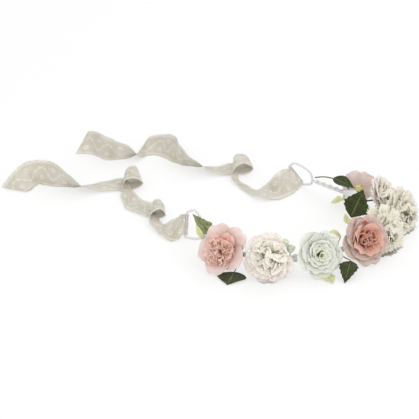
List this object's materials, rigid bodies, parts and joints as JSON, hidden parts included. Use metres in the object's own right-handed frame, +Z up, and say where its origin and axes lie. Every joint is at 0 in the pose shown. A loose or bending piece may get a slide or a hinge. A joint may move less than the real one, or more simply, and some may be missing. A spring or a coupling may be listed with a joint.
{
  "type": "flower crown",
  "caption": "Open head band covered in cloth flowers and leaves, with a lace ribbon hinged to a wire eye at each end",
  "frame": {"origin": "middle of the head ring at the level it lies on", "axes": "+X to the open side of the ring's right as it lies, +Y away from the front flowers, +Z up through the ring"},
  "size_m": [0.3938, 0.3089, 0.041],
  "materials": {
    "band_wrap": "woven white tape wrapped round the ring",
    "binding_thread": "white thread binding",
    "wire_wrap": "steel wire covered in white cotton",
    "lace": "ivory cotton lace",
    "stem": "moulded green stem",
    "pale_leaf": "pale green leaf cloth",
    "dark_leaf": "dark green leaf cloth",
    "bud": "green bud",
    "coral_centre": "coral ruffled cloth",
    "pink_petal": "dusty pink petal cloth",
    "cream_petal": "cream petal cloth",
    "white_petal": "white petal cloth",
    "stamen": "dull yellow stamens"
  },
  "bodies": {
    "crown": {"carnation_core": "cream_petal", "carnation_middle_petals": "cream_petal", "carnation_outer_petals": "cream_petal", "carnation_stem": "stem", "cream_flower_core": "stamen", "cream_flower_middle_petals": "cream_petal", "cream_flower_outer_petals": "cream_petal", "cream_flower_stem": "stem", "far_binding": "binding_thread", "far_dark_leaf": "dark_leaf", "far_eye_wire": "wire_wrap", "far_flower_core": "stamen", "far_flower_middle_petals": "cream_petal", "far_flower_outer_petals": "cream_petal", "far_flower_stem": "stem", "far_pale_leaf": "pale_leaf", "far_rose_core": "stamen", "far_rose_middle_petals": "pink_petal", "far_rose_outer_petals": "pink_petal", "far_rose_stem": "stem", "front_binding": "binding_thread", "front_dark_leaf": "dark_leaf", "front_pale_leaf": "pale_leaf", "front_rose_core": "coral_centre", "front_rose_middle_petals": "pink_petal", "front_rose_outer_petals": "pink_petal", "front_rose_stem": "stem", "front_serrated_leaf": "dark_leaf", "inner_pale_leaf": "pale_leaf", "inner_small_leaf": "pale_leaf", "lower_bud": "bud", "near_binding": "binding_thread", "near_eye_wire": "wire_wrap", "near_pale_leaf": "pale_leaf", "near_rose_core": "coral_centre", "near_rose_middle_petals": "pink_petal", "near_rose_outer_petals": "pink_petal", "near_rose_stem": "stem", "near_variegated_leaf": "dark_leaf", "side_flower_core": "stamen", "side_flower_middle_petals": "cream_petal", "side_flower_outer_petals": "cream_petal", "side_flower_stem": "stem", "upper_bud": "bud", "upright_serrated_leaf": "dark_leaf", "white_rose_core": "white_petal", "white_rose_middle_petals": "white_petal", "white_rose_outer_petals": "white_petal", "white_rose_stem": "stem", "wrapped_band": "band_wrap"},
    "near_ribbon": {"near_ribbon": "lace"},
    "far_ribbon": {"far_ribbon": "lace"}
  },
  "joints": [
    {"name": "near_ribbon_swing", "type": "hinge", "parent": "crown", "child": "near_ribbon", "pos_m": [-0.08767, -0.01019, 0.01282], "axis": [0.077, 0.3081, 0.9482], "range_deg": [-6, 60]},
    {"name": "far_ribbon_swing", "type": "hinge", "parent": "crown", "child": "far_ribbon", "pos_m": [0.018, 0.1048, 0.01114], "axis": [-0.589, 0.017, 0.808], "range_deg": [-45, 6]}
  ]
}
